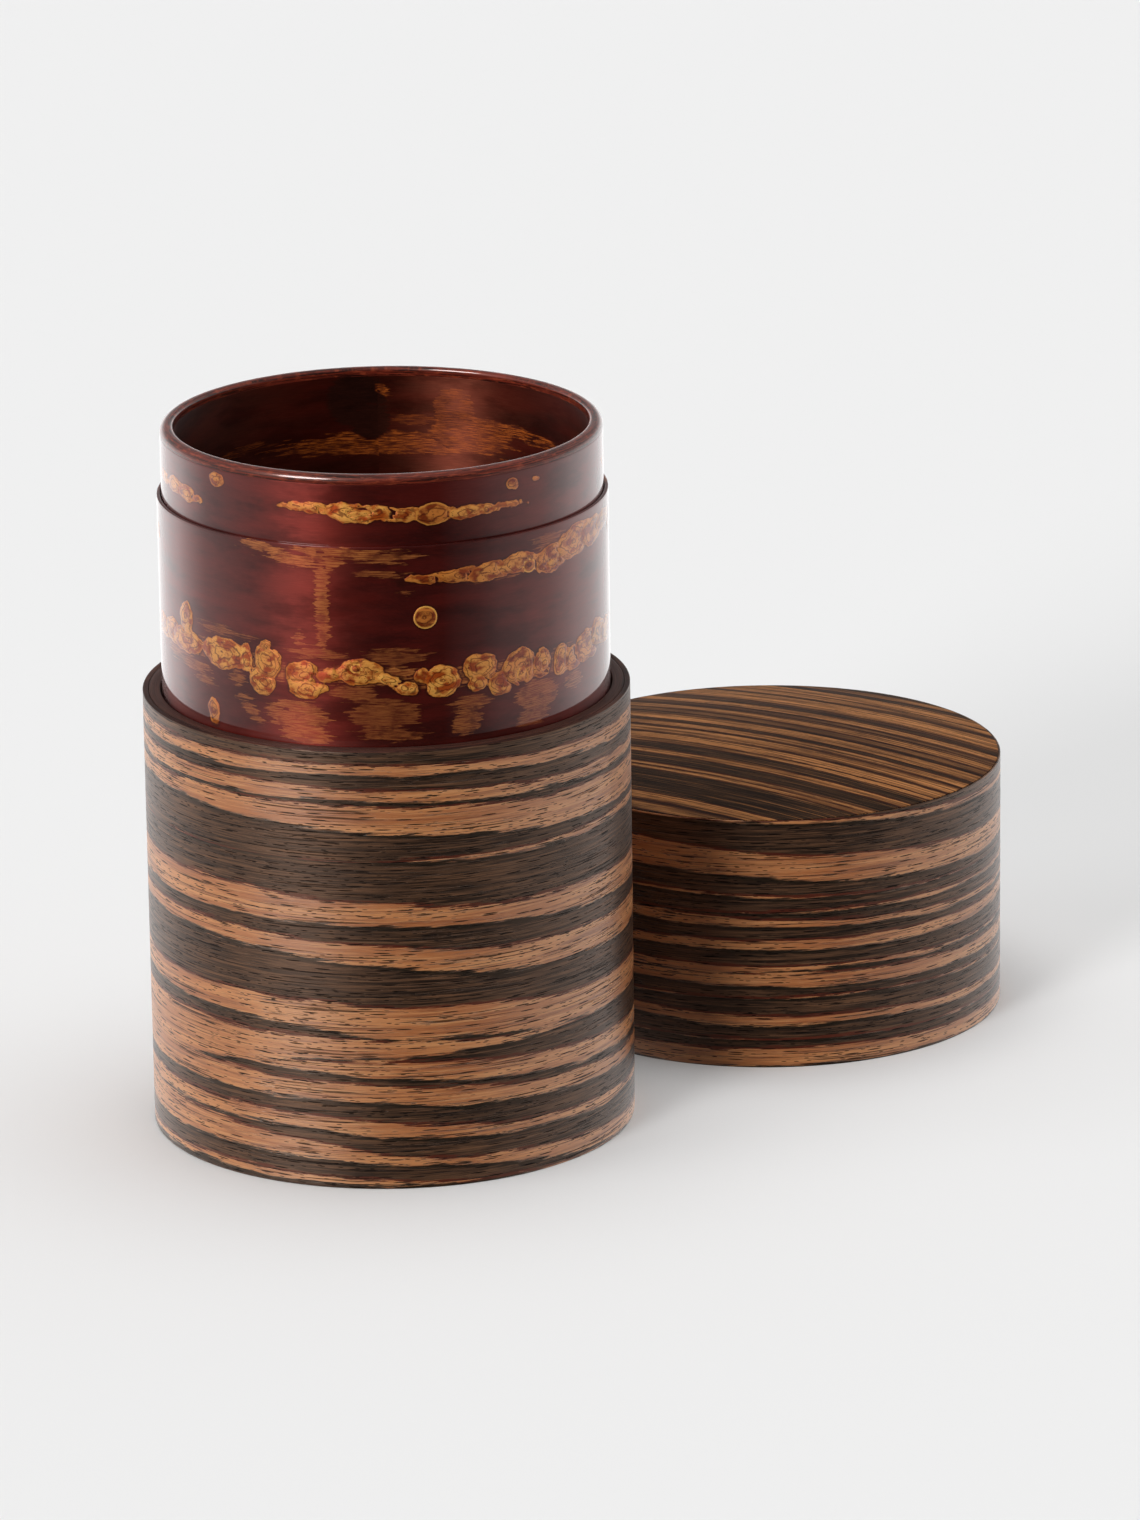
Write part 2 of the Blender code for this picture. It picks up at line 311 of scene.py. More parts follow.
# Each mark: azimuth, height, half length, half height, tilt, glow. Glow runs from 0, dull brown, to 1,
# gold. A knot's glow of 0.2 or less makes it a ring, and a patch's glow below 0 makes it blackish.
NECK_KNOTS = [
    (-78, 87.0, 4.5, 1.8, 0, 0.45), (-70, 87.5, 3.2, 2.0, 0, 0.5), (-62, 87.0, 4.6, 2.0, 0, 0.6),
    (-61.5, 90.9, 2.0, 2.5, 0, 0.6), (-46, 87.0, 4.7, 2.5, 2, 0.7), (-38.2, 87.0, 1.2, 2.2, 0, 0.9),
    (-33.6, 83.8, 2.1, 2.3, -8, 0.65), (-31.8, 87.2, 2.3, 2.6, 15, 0.6), (-32.2, 89.6, 1.0, 1.0, 0, 0.55),
    (-22.0, 85.6, 2.9, 2.0, 0, 0.7), (-21.4, 83.3, 3.0, 1.4, 0, 0.8), (-15.5, 85.7, 2.5, 1.1, 8, 0.7),
    (-7.4, 86.4, 3.5, 2.0, -4, 0.7), (-8.3, 87.0, 0.95, 0.85, 0, 0.1), (0.2, 85.1, 2.6, 0.95, -22, 1.0),
    (4.2, 83.5, 2.0, 1.05, 0, 0.9), (8.4, 85.6, 1.2, 1.2, 0, 0.5), (13.2, 84.5, 2.7, 2.5, 0, 0.85),
    (23.4, 85.9, 2.7, 2.3, 0, 0.6), (22.4, 83.4, 1.5, 1.4, 0, 0.75), (29.0, 82.8, 2.1, 1.9, 0, 0.6),
    (35.0, 84.9, 3.1, 2.9, 0, 0.45), (35.2, 83.6, 1.2, 1.4, 0, 0.75), (42.0, 84.4, 1.9, 2.4, 0, 0.5),
    (43.0, 84.2, 0.9, 1.2, 0, 0.7), (49.2, 84.1, 1.8, 2.5, 0, 0.7), (54.3, 83.7, 2.0, 2.2, 0, 0.5),
    (62, 84.6, 4.2, 2.5, 0, 0.6), (69, 85.6, 3.2, 2.3, 0, 0.6), (77, 84.8, 4.0, 2.0, 0, 0.6),
    (9.2, 95.2, 1.75, 1.8, 0, 0.2), (-49.8, 76.8, 1.4, 2.0, 0, 0.3),
    (10, 101.6, 3.6, 0.8, 3, 0.4), (19, 101.6, 4.2, 1.2, 3, 0.35), (28, 101.8, 4.6, 1.5, 4, 0.45),
    (35, 102.2, 3.8, 1.6, 3, 0.55), (38.3, 101.3, 1.3, 1.1, 0, 0.15), (46.5, 101.6, 3.6, 2.2, 8, 0.45),
    (46.4, 100.8, 1.7, 0.7, 8, 0.7), (56, 103.0, 4.6, 2.5, 6, 0.65), (65, 103.2, 4.0, 2.2, 0, 0.6),
    (74, 103.6, 4.0, 1.5, 0, 0.5),
]
KNOT_GROWTH = (1.14, 1.1)  # the neck's knots end a little outside the sizes above
NECK_KNOTS = [(azimuth, height, KNOT_GROWTH[0] * length, KNOT_GROWTH[1] * thick, tilt, glow)
              for azimuth, height, length, thick, tilt, glow in NECK_KNOTS]
NECK_PATCHES = [
    (-50, 87.2, 8.5, 1.5, 0, 0.7), (-28, 85.6, 8.0, 1.5, 0, 0.75), (-7, 85.8, 8.5, 1.5, 0, 0.75),
    (16, 84.9, 8.5, 1.6, 0, 0.7), (34, 84.6, 8.5, 1.7, 0, 0.65), (51, 84.5, 8.5, 1.9, 0, 0.6),
    (66, 84.9, 8.0, 2.0, 0, 0.6), (32, 101.6, 9.0, 1.4, 3, 0.5), (52, 102.4, 9.0, 2.2, 4, 0.55),
    (-31.5, 105.6, 5.4, 0.9, -8, 0.75), (-25, 104.8, 4.8, 1.1, -9, 0.8), (-14, 106.0, 7.5, 0.9, 0, 0.7),
    (0.5, 105.3, 4.2, 0.9, 4, 0.45), (-2, 102.6, 3.0, 0.7, 0, 0.3), (-14.5, 104.2, 2.4, 1.4, 12, 0.65),
    (-16.6, 98.2, 1.2, 8.6, 0, 0.6), (-23, 91.4, 0.9, 1.2, 0, 0.5), (-46, 90.7, 5.0, 0.9, -3, 0.25),
    (-18.5, 89.2, 4.6, 1.0, 0, 0.35), (1.0, 88.8, 5.2, 1.3, 0, 0.2), (-24, 78.7, 5.4, 2.5, 0, 0.5),
    (-21.5, 75.7, 4.2, 1.6, 0, 0.55), (-1.5, 79.2, 5.6, 2.6, 0, 0.22), (0.5, 76.0, 5.0, 1.2, 0, 0.2),
    (-10.5, 83.0, 4.2, 1.3, 0, 0.3), (20.2, 80.4, 3.4, 1.2, 0, 0.4), (19.5, 77.2, 2.5, 2.2, 0, 0.4),
    (40.5, 79.6, 4.7, 2.7, 0, 0.45), (38.6, 76.0, 3.2, 1.4, 0, 0.4), (54.6, 79.9, 2.4, 1.4, 0, 0.45),
    (-36.5, 78.2, 2.6, 0.9, -34, 0.45), (-41.5, 83.4, 1.8, 1.2, 0, 0.4), (-39.5, 80.5, 2.0, 0.5, 0, 0.4),
    (-53, 81.6, 2.0, 0.6, 0, 0.35), (-58, 83.6, 4.2, 1.1, 0, 0.35), (-68, 84.4, 3.0, 1.2, 0, 0.3),
    (45, 104.8, 3.4, 0.9, 0, 0.35), (-28, 79.4, 1.5, 0.5, 0, 0.5), (4, 99.5, 0.7, 0.3, 0, 0.3),
]
BAND_KNOTS = [
    (-78, 111.8, 4.0, 1.1, 0, 0.5), (-69, 111.7, 4.2, 1.4, 0, 0.6), (-62, 111.5, 3.0, 1.4, 0, 0.6),
    (-56.5, 111.2, 1.8, 0.8, 0, 0.5), (-48.2, 115.3, 1.7, 1.2, 0, 0.4), (-12.5, 112.8, 11.0, 0.95, -2, 0.75),
    (16.0, 112.0, 14.0, 0.95, -1, 0.6), (2.5, 112.2, 4.5, 1.3, -3, 0.6), (-7.6, 112.5, 6.4, 1.7, -2, 1.0),
    (-6.8, 112.5, 2.0, 0.9, 0, 0.8), (12.0, 111.9, 3.2, 1.9, 0, 0.25), (20.6, 111.7, 3.4, 1.2, 0, 0.7),
    (34, 115.2, 1.3, 1.1, 0, 0.35), (41.5, 115.1, 0.9, 0.5, 0, 0.3),
]
CUP_PATCHES = [
    (176, 105.6, 20.0, 1.9, 0, 0.9), (152, 107.6, 8.0, 3.4, 0, 0.7), (158, 111.8, 3.6, 3.6, 0, 0.4),
    (136, 109.2, 4.0, 1.0, 0, 1.0), (127, 108.4, 3.0, 0.8, 0, 1.0), (222, 107.0, 6.0, 0.8, 0, 0.4),
    (170, 109.6, 4.0, 1.0, 0, 0.3), (186, 113.2, 5.0, 4.6, 0, -0.6), (182, 109.4, 3.2, 3.2, 0, -0.6),
    (178.5, 114.6, 1.4, 0.8, 40, 1.0),
]


BACK = (84, 276)  # azimuths of the back, where the marks are made up
NO_MARK = -9.0  # depth inside a mark where there is none
KNOT_RELIEF = 0.035  # how far the neck's knots stand out
KNOT_SHOULDER = 0.6  # depth inside a knot where it first stands out fully


def back_marks(seed, heights, count):
    """A chain of knots at each height, and torn patches, for the side that the front view doesn't reach."""
    start, end = BACK
    rng = np.random.default_rng(seed)
    knots, patches = [], []
    for height in heights:
        azimuth = start
        while azimuth < end:
            half = rng.uniform(1.4, 4.2)
            knots.append((azimuth, height + rng.normal(0, 0.35), half, half * rng.uniform(0.4, 0.65),
                          rng.uniform(-8, 8), rng.uniform(0.35, 0.8)))
            azimuth += half * rng.uniform(2.0, 3.6)
    low, high = min(heights) - 9.0, max(heights) + 9.0
    for _ in range(count):
        patches.append((rng.uniform(start, end), rng.uniform(low, high), rng.uniform(1.5, 6.0),
                        rng.uniform(0.3, 1.6), rng.uniform(-6, 6), rng.uniform(0.2, 0.55)))
    return knots, patches


def mark_fields(azimuth, height, wide, marks):
    """Depth in millimetres inside the marks, a later mark lying over an earlier one, and their glow."""
    depth = np.full(azimuth.shape, NO_MARK)
    glow = np.zeros(azimuth.shape)
    for centre, level, half_length, half_height, tilt, gold in marks:
        away = (azimuth - centre + 180.0) % 360.0 - 180.0
        across = np.radians(away) * wide
        up = height - level
        cos, sin = math.cos(math.radians(tilt)), math.sin(math.radians(tilt))
        x = (across * cos + up * sin) / half_length
        y = (up * cos - across * sin) / half_height
        reach = np.sqrt(x * x + y * y)
        inside = (1.0 - reach) * min(half_length, half_height)
        over = inside > np.minimum(depth, 0.0)
        depth = np.where(over, inside, depth)
        glow = np.where(over, gold, glow)
    return depth, glow


def store_bark(obj, surface, knots, patches):
    """Marks and flat coordinates of rolled bark."""
    for name, marks in (("knot", knots), ("patch", patches)):
        depth, glow = mark_fields(surface.azimuth, surface.height, surface.radius.max(), marks)
        store(obj, name, depth)
        store(obj, name + "_glow", glow)
    store_sheet(obj, surface.arc, surface.height)


def store_disc_bark(obj, surface, torn):
    """Bark laid flat on a disc, with its grain along X: no knots, and torn where the noise rises past -torn."""
    across, along = surface.flat()
    store_sheet(obj, across, along)
    for name, value in (("knot", NO_MARK), ("knot_glow", 0.4), ("patch", torn), ("patch_glow", 0.3)):
        store(obj, name, np.full(across.shape, value))


# Node helpers ---------------------------------------------------------

class Nodes:
    """Short calls for building one node tree."""

    def __init__(self, tree):
        self.tree = tree

    def add(self, kind, **settings):
        node = self.tree.nodes.new(kind)
        for key, value in settings.items():
            setattr(node, key, value)
        return node

    def link(self, source, target):
        """Link an output to a socket, or set the socket's own value to a number or a colour."""
        if isinstance(source, (int, float, tuple)):
            target.default_value = source
        else:
            self.tree.links.new(source, target)

    def math(self, operation, first, second=0.0, third=0.0):
        node = self.add("ShaderNodeMath", operation=operation)
        for socket, value in zip(node.inputs, (first, second, third)):
            self.link(value, socket)
        return node.outputs[0]

    def field(self, name):
        """A number kept on the mesh by store()."""
        return self.add("ShaderNodeAttribute", attribute_name=name).outputs["Fac"]

    def flat(self, across, along, offset=0.0):
        """The sheet's coordinates, scaled to cycles per millimetre along and across the grain."""
        uv = self.add("ShaderNodeUVMap", uv_map="sheet").outputs["UV"]
        node = self.add("ShaderNodeMapping")
        self.link(uv, node.inputs["Vector"])
        node.inputs["Scale"].default_value = (across, along, 1.0)
        node.inputs["Location"].default_value = (offset, offset * 0.37, 0.0)
        return node.outputs["Vector"]

    def noise(self, vector, detail, roughness):
        node = self.add("ShaderNodeTexNoise", noise_dimensions="2D")
        self.link(vector, node.inputs["Vector"])
        node.inputs["Scale"].default_value = 1.0
        node.inputs["Detail"].default_value = detail
        node.inputs["Roughness"].default_value = roughness
        return node.outputs["Fac"]

    def dashes(self, vector, reach):
        """1 inside small ellipses scattered at random over the sheet, 0 outside."""
        node = self.add("ShaderNodeTexVoronoi", voronoi_dimensions="2D")
        self.link(vector, node.inputs["Vector"])
        node.inputs["Scale"].default_value = 1.0
        return self.step(node.outputs["Distance"], reach, reach * 0.7)

    def step(self, value, low, high, start=0.0, end=1.0):
        """Smooth rise from start to end as the value goes from low to high."""
        node = self.add("ShaderNodeMapRange", interpolation_type="SMOOTHSTEP")
        for socket, number in zip(node.inputs, (value, low, high, start, end)):
            self.link(number, socket)
        return node.outputs[0]

    def mix(self, factor, first, second):
        """A colour between first, where the factor is 0, and second, where it is 1."""
        node = self.add("ShaderNodeMix", data_type="RGBA")
        self.link(factor, node.inputs["Factor"])
        for socket, colour in ((node.inputs[6], first), (node.inputs[7], second)):
            self.link((*colour, 1.0) if isinstance(colour, tuple) else colour, socket)
        return node.outputs[2]

    def bump(self, height, depth, strength, under=None):
        """Relief of the given depth in millimetres, over the relief under it."""
        node = self.add("ShaderNodeBump")
        node.inputs["Strength"].default_value = strength
        node.inputs["Distance"].default_value = depth * MM
        self.link(height, node.inputs["Height"])
        if under is not None:
            self.link(under, node.inputs["Normal"])
        return node.outputs["Normal"]

    def ramp(self, share, stops):
        """A grey for each azimuth, given as a share of the full turn from -180 to 180."""
        node = self.add("ShaderNodeValToRGB")
        self.link(share, node.inputs["Fac"])
        elements = node.color_ramp.elements
        while len(elements) > 1:
            elements.remove(elements[-1])
        for index, (azimuth, value) in enumerate(stops):
            position = azimuth / 360.0 + 0.5
            element = elements[0] if index == 0 else elements.new(position)
            element.position = position
            element.color = (value, value, value, 1.0)
        return node.outputs["Color"]


class Material(Nodes):
    """One new material and its shader."""

    def __init__(self, name):
        self.material = bpy.data.materials.new(name)
        self.material.use_nodes = True
        super().__init__(self.material.node_tree)
        self.shader = self.tree.nodes["Principled BSDF"]

    def set(self, **values):
        """Set or link the shader's sockets, each named as in Blender with _ for a space."""
        for key, value in values.items():
            self.link(value, self.shader.inputs[key.replace("_", " ")])

    def brush(self, strength):
        """Stretch the gloss round the piece's own axis, as on turned or rolled work."""
        tangent = self.add("ShaderNodeTangent", direction_type="RADIAL", axis="Z")
        self.set(Anisotropic=strength, Anisotropic_Rotation=0.25, Tangent=tangent.outputs[0])


def srgb(red, green, blue):
    """A colour as it looks, 0 to 255, in the linear numbers that the shader takes."""
    parts = [c / 255.0 for c in (red, green, blue)]
    return tuple(c / 12.92 if c <= 0.04045 else ((c + 0.055) / 1.055) ** 2.4 for c in parts)


# Materials ------------------------------------------------------------

def straight_stripes(n, wobble, stripes):
    """Stripes straight along the sheet: depth inside the nearest one, and how tan the place is."""
    uv = n.add("ShaderNodeSeparateXYZ")
    n.link(n.add("ShaderNodeUVMap", uv_map="sheet").outputs["UV"], uv.inputs[0])
    across = n.math("SUBTRACT", uv.outputs[1], TOP_SHEET)
    nearest, tan = NO_STRIPE, 0.0
    for low, high, strength in stripes:
        away = n.math("ABSOLUTE", n.math("SUBTRACT", across, (low + high) / 2))
        inside = n.math("ADD", n.math("SUBTRACT", (high - low) / 2, away), wobble)
        nearest = n.math("MAXIMUM", nearest, inside)
        tan = n.math("MAXIMUM", tan, n.step(inside, -0.06, 0.06, 0.0, strength))
    return nearest, tan


def striped_veneer(name, flat_top=False, unevenness=1.0):
    """Satin veneer in dark and tan stripes, with ragged edges, fibres and open pores.

    The lid's flat top gets darker, duller colours than the side, and straight stripes. It is mostly seen at a
    low angle, so its finest fibres are fainter. Unevenness is how much the stripes' edges wander and tear.
    """
    n = Material(name)
    streak = n.noise(n.flat(0.04, 1.9, 2.0), 3.0 if flat_top else 5.0, 0.62)
    fibre = n.noise(n.flat(0.12, 6.0, 8.0), 4.0, 0.65)
    hair = n.noise(n.flat(0.5, 16.0, 14.0), 2.0, 0.5)
    broad = n.noise(n.flat(0.03, 0.5, 11.0), 3.0, 0.6)
    swing = 1.2 * unevenness
    tear = 1.9 * unevenness
    wander = n.math("MULTIPLY_ADD", n.noise(n.flat(0.06, 0.5), 3.0, 0.55), swing, -swing / 2)
    ragged = n.noise(n.flat(0.13, 2.2, 5.0), 5.0, 0.68)
    ragged = n.math("MULTIPLY_ADD", ragged, tear, -tear / 2)
    torn = n.math("MULTIPLY_ADD", fibre, 0.4 if flat_top else 0.9, -0.2 if flat_top else -0.45)
    wobble = n.math("ADD", torn, n.math("ADD", wander, ragged))

    if flat_top:
        depth, tan = straight_stripes(n, wobble, TOP_STRIPES)
        tan_colour = n.mix(n.step(broad, 0.38, 0.62), srgb(122, 76, 38), srgb(168, 110, 60))
        tan_colour = n.mix(n.step(streak, 0.50, 0.60, 0.0, 0.75), tan_colour, srgb(66, 38, 21))
        tan_colour = n.mix(n.step(streak, 0.44, 0.36, 0.0, 0.6), tan_colour, srgb(186, 125, 72))
        lines = n.noise(n.flat(0.02, 2.6, 51.0), 2.0, 0.6)
        tan_colour = n.mix(n.step(lines, 0.54, 0.62, 0.0, 0.5), tan_colour, srgb(62, 36, 19))
        tan_colour = n.mix(n.step(lines, 0.44, 0.36, 0.0, 0.45), tan_colour, srgb(196, 134, 80))
        dark_colour = n.mix(n.step(streak, 0.42, 0.58), srgb(32, 19, 11), srgb(64, 41, 24))
        dark_colour = n.mix(n.step(lines, 0.61, 0.66, 0.0, 0.7), dark_colour, srgb(146, 95, 54))
    else:
        depth = n.math("ADD", n.field("tan"), wobble)
        tan = n.step(depth, -0.06, 0.06)
        tan_colour = n.mix(n.step(broad, 0.38, 0.62), srgb(190, 113, 61), srgb(218, 143, 85))
        tan_colour = n.mix(n.step(streak, 0.54, 0.64, 0.0, 0.7), tan_colour, srgb(146, 78, 40))
        tan_colour = n.mix(n.step(streak, 0.45, 0.34, 0.0, 0.6), tan_colour, srgb(232, 164, 106))
        dark_colour = n.mix(n.step(streak, 0.40, 0.58), srgb(34, 22, 16), srgb(92, 64, 46))
        dark_colour = n.mix(n.step(streak, 0.60, 0.68, 0.0, 0.6), dark_colour, srgb(134, 92, 62))
    plain = 0.4 if flat_top else 1.0
    tan_colour = n.mix(n.step(fibre, 0.56, 0.68, 0.0, 0.45 * plain), tan_colour, srgb(112, 60, 36))
    tan_colour = n.mix(n.step(hair, 0.56, 0.74, 0.0, 0.25 * plain), tan_colour, srgb(238, 186, 138))
    dark_colour = n.mix(n.step(broad, 0.50, 0.68, 0.0, 0.5), dark_colour, srgb(28, 18, 14))
    dark_colour = n.mix(n.step(fibre, 0.54, 0.64, 0.0, 0.6 * plain), dark_colour, srgb(120, 84, 58))
    dark_colour = n.mix(n.step(fibre, 0.46, 0.38, 0.0, 0.8 * plain), dark_colour, srgb(14, 9, 6))
    colour = n.mix(tan, dark_colour, tan_colour)

    side = 0.5 if flat_top else n.step(n.field("side"), -0.1, 0.1)
    thickness = n.math("MULTIPLY_ADD", side, -0.14, 0.42)
    away = n.math("ABSOLUTE", n.math("ADD", depth, 0.16))
    near_edge = n.math("SUBTRACT", 1.0, n.step(n.math("DIVIDE", away, thickness), 0.55, 1.0))
    line = n.mix(side, srgb(14, 14, 7), srgb(92, 32, 18))
    colour = n.mix(n.math("MULTIPLY", near_edge, 0.5 if flat_top else 0.9), colour, line)

    pores = n.dashes(n.flat(0.09, 1.3, 21.0), 0.14)
    short = n.dashes(n.flat(0.30, 2.1, 31.0), 0.15)
    sparse = n.math("MULTIPLY", short, n.step(broad, 0.44, 0.56))
    cut = n.math("MAXIMUM", pores, sparse)
    if not flat_top:
        cracks = n.step(n.noise(n.flat(0.04, 3.0, 41.0), 4.0, 0.62), 0.60, 0.65, 0.0, 0.85)
        cut = n.math("MAXIMUM", cut, cracks)
    colour = n.mix(n.math("MULTIPLY", cut, 0.6 if flat_top else 0.95), colour, srgb(18, 11, 8))

    n.set(Base_Color=colour)
    if flat_top:
        n.set(IOR=1.3, Specular_IOR_Level=0.3, Roughness=0.62, Specular_Tint=(1.0, 0.8, 0.6, 1.0))
    else:
        gloss = n.math("MULTIPLY_ADD", tan, 0.35, 0.65)
        gloss = n.math("MULTIPLY", gloss, n.math("MULTIPLY_ADD", cut, -0.8, 1.0))
        n.set(IOR=1.7, Specular_IOR_Level=0.75, Roughness=0.46, Specular_Tint=(1.0, 0.78, 0.65, 1.0))
        n.set(Specular_IOR_Level=gloss, Specular_Tint=n.mix(tan, (1.0, 0.68, 0.52), (1.0, 0.90, 0.80)))
        n.set(Coat_Weight=0.06, Coat_Roughness=0.3)
        n.brush(0.8)
    relief = n.math("SUBTRACT", n.math("MULTIPLY", fibre, 0.4), cut)
    n.set(Normal=n.bump(relief, 0.1, 0.3 if flat_top else 0.7))
    return n.material


def cherry_bark(name, inside=False, flat=False):
    """Deep red polished bark with torn brown patches and golden knots under the polish.

    Inside, the colours are darker: painted shade of the hollow. The lining is also duller, with amber streaks.
    Bark laid flat has no round highlight.
    """
    n = Material(name)
    tear = n.math("MULTIPLY_ADD", n.noise(n.flat(0.16, 1.9, 3.0), 4.0, 0.65), 3.0, -1.5)
    ring = n.math("SUBTRACT", 1.0, n.step(n.field("knot_glow"), 0.20, 0.30))
    wobble = n.math("MULTIPLY_ADD", n.noise(n.flat(0.38, 0.5, 7.0), 2.0, 0.5), 1.2, -0.6)
    wobble = n.math("MULTIPLY", wobble, n.math("MULTIPLY_ADD", ring, -0.85, 1.0))
    torn = n.math("ADD", n.field("patch"), tear)
    patch = n.step(torn, -0.05, 0.10)
    depth = n.math("ADD", n.field("knot"), wobble)
    knot = n.step(depth, 0.02, 0.12)

    fine = n.noise(n.flat(0.30, 8.0, 9.0), 4.0, 0.65)
    broad = n.noise(n.flat(0.05, 0.25, 13.0), 3.0, 0.55)
    mottle = n.noise(n.flat(0.40, 0.6, 17.0), 3.0, 0.55)
    flow = n.noise(n.flat(0.35, 0.5, 27.0), 1.5, 0.4)
    speck = n.noise(n.flat(2.2, 3.0, 19.0), 3.0, 0.6)

    # Inside, the base and patch colours are darker than outside: painted shade of the hollow.
    if inside:
        base = n.mix(n.step(broad, 0.35, 0.7), srgb(22, 2, 1), srgb(52, 6, 3))
        base = n.mix(n.step(fine, 0.48, 0.75, 0.0, 0.45), base, srgb(72, 15, 8))
        dull = n.mix(n.step(fine, 0.46, 0.58), srgb(28, 6, 3), srgb(88, 34, 12))
        bright = n.mix(n.step(fine, 0.46, 0.58), srgb(54, 15, 6), srgb(186, 96, 34))
    else:
        base = n.mix(n.step(broad, 0.35, 0.7), srgb(40, 7, 6), srgb(72, 15, 11))
        base = n.mix(n.step(fine, 0.48, 0.75, 0.0, 0.45), base, srgb(98, 28, 20))
        dull = n.mix(n.step(fine, 0.40, 0.60), srgb(66, 26, 13), srgb(124, 66, 34))
        bright = n.mix(n.step(fine, 0.40, 0.60), srgb(128, 62, 28), srgb(214, 134, 68))
    patch_colour = n.mix(n.field("patch_glow"), dull, bright)
    patch_colour = n.mix(n.step(mottle, 0.52, 0.72, 0.0, 0.6), patch_colour, srgb(58, 20, 12))
    patch_colour = n.mix(n.step(n.field("patch_glow"), -0.1, -0.3), patch_colour, srgb(13, 7, 5))
    colour = n.mix(n.math("MULTIPLY", patch, 0.9), base, patch_colour)
    lip_line = n.math("SUBTRACT", n.step(torn, -0.35, -0.05), patch)
    colour = n.mix(n.math("MULTIPLY", lip_line, 0.5), colour, srgb(30, 6, 4))

    outline = n.step(depth, -0.36, 0.0)
    colour = n.mix(n.math("MULTIPLY", outline, 0.85), colour, srgb(26, 7, 4))
    low = n.mix(n.step(mottle, 0.38, 0.62), srgb(96, 38, 12), srgb(192, 102, 38))
    high = n.mix(n.step(mottle, 0.36, 0.60), srgb(178, 78, 20), srgb(248, 180, 86))
    heart = n.mix(n.field("knot_glow"), low, high)
    swirl = n.math("ADD", n.math("MULTIPLY", depth, 7.5), n.math("MULTIPLY", flow, 15.0))
    heart = n.mix(n.step(n.math("SINE", swirl), 0.62, 0.98, 0.0, 0.7), heart, srgb(66, 24, 8))
    heart = n.mix(n.step(speck, 0.62, 0.70, 0.0, 0.85), heart, srgb(36, 12, 6))
    rim = n.math("MULTIPLY", knot, n.math("SUBTRACT", 1.0, n.step(depth, 0.12, 0.45)))
    rim = n.math("MULTIPLY", rim, n.math("MULTIPLY_ADD", ring, 0.5, 0.5))
    heart = n.mix(rim, heart, n.mix(ring, srgb(218, 126, 46), srgb(255, 190, 88)))
    colour = n.mix(knot, colour, heart)

    n.set(Base_Color=colour, Roughness=0.48)
    cloud = n.noise(n.flat(0.07, 0.20, 33.0), 4.0, 0.6)
    gloss = n.math("MULTIPLY", n.step(cloud, 0.32, 0.60, 0.5, 1.05), n.step(fine, 0.30, 0.62, 1.05, 0.75))
    n.set(Specular_IOR_Level=0.7)
    n.set(Specular_IOR_Level=gloss)
    if inside:
        n.set(IOR=1.65, Specular_Tint=(1.0, 0.26, 0.15, 1.0), Coat_Weight=0.12)
    else:
        n.set(IOR=1.8, Specular_Tint=(1.0, 0.15, 0.11, 1.0), Coat_Weight=1.0)
    n.set(Coat_Roughness=0.03, Coat_IOR=1.65)
    relief = n.math("MULTIPLY_ADD", n.math("MULTIPLY", knot, mottle), 0.8, n.step(depth, -0.1, 0.9))
    n.set(Normal=n.bump(n.math("MULTIPLY", fine, 0.2), 0.04, 0.5, n.bump(relief, 0.22, 0.7)))
    n.set(Coat_Normal=n.bump(n.math("MULTIPLY", knot, speck), 0.02, 0.3))
    if not flat:
        n.brush(0.9)
    return n.material


def lip_bark():
    """Reddish bark strip over the cup's rim, streaked along the rim."""
    n = Material("rim_strip_bark")
    streak = n.noise(n.flat(0.08, 4.0, 1.0), 4.0, 0.65)
    spot = n.noise(n.flat(0.5, 2.0, 4.0), 3.0, 0.6)
    colour = n.mix(n.step(streak, 0.40, 0.58), srgb(40, 12, 9), srgb(118, 42, 27))
    colour = n.mix(n.step(spot, 0.50, 0.70, 0.0, 0.6), colour, srgb(156, 68, 42))
    colour = n.mix(n.step(streak, 0.60, 0.72, 0.0, 0.85), colour, srgb(26, 8, 6))
    n.set(Base_Color=colour, Roughness=0.34, Coat_Weight=0.9, Coat_Roughness=0.12, Specular_IOR_Level=0.35)
    n.set(Specular_Tint=(1.0, 0.6, 0.5, 1.0), Normal=n.bump(streak, 0.05, 0.5))
    return n.material


def stained_wood(name, light, dark):
    """Dark stained wood, streaked along its grain."""
    n = Material(name)
    streak = n.noise(n.flat(0.06, 5.0, 1.0), 4.0, 0.65)
    fibre = n.noise(n.flat(0.6, 12.0, 4.0), 3.0, 0.6)
    colour = n.mix(n.step(streak, 0.3, 0.7), dark, light)
    colour = n.mix(n.step(fibre, 0.55, 0.8, 0.0, 0.5), colour, srgb(30, 18, 14))
    n.set(Base_Color=colour, Roughness=0.5, Specular_IOR_Level=0.25)
    n.set(Normal=n.bump(fibre, 0.05, 0.5))
    return n.material


LAYERS_PER_METRE = (60.0, 60.0, 2500.0)  # along X, Y and Z


def hidden_wood(name, light, dark):
    """Wood or bark in thin level layers, for CAD nodes that stay as they are and have no flat coordinates."""
    n = Material(name)
    place = n.add("ShaderNodeTexCoord").outputs["Object"]
    stretch = n.add("ShaderNodeMapping")
    n.link(place, stretch.inputs["Vector"])
    stretch.inputs["Scale"].default_value = LAYERS_PER_METRE
    grain = n.add("ShaderNodeTexNoise")
    n.link(stretch.outputs["Vector"], grain.inputs["Vector"])
    grain.inputs["Scale"].default_value = 1.0
    grain.inputs["Detail"].default_value = 4.0
    colour = n.mix(n.step(grain.outputs["Fac"], 0.35, 0.65), dark, light)
    n.set(Base_Color=colour, Roughness=0.5)
    n.set(Normal=n.bump(grain.outputs["Fac"], 0.08, 0.4))
    return n.material


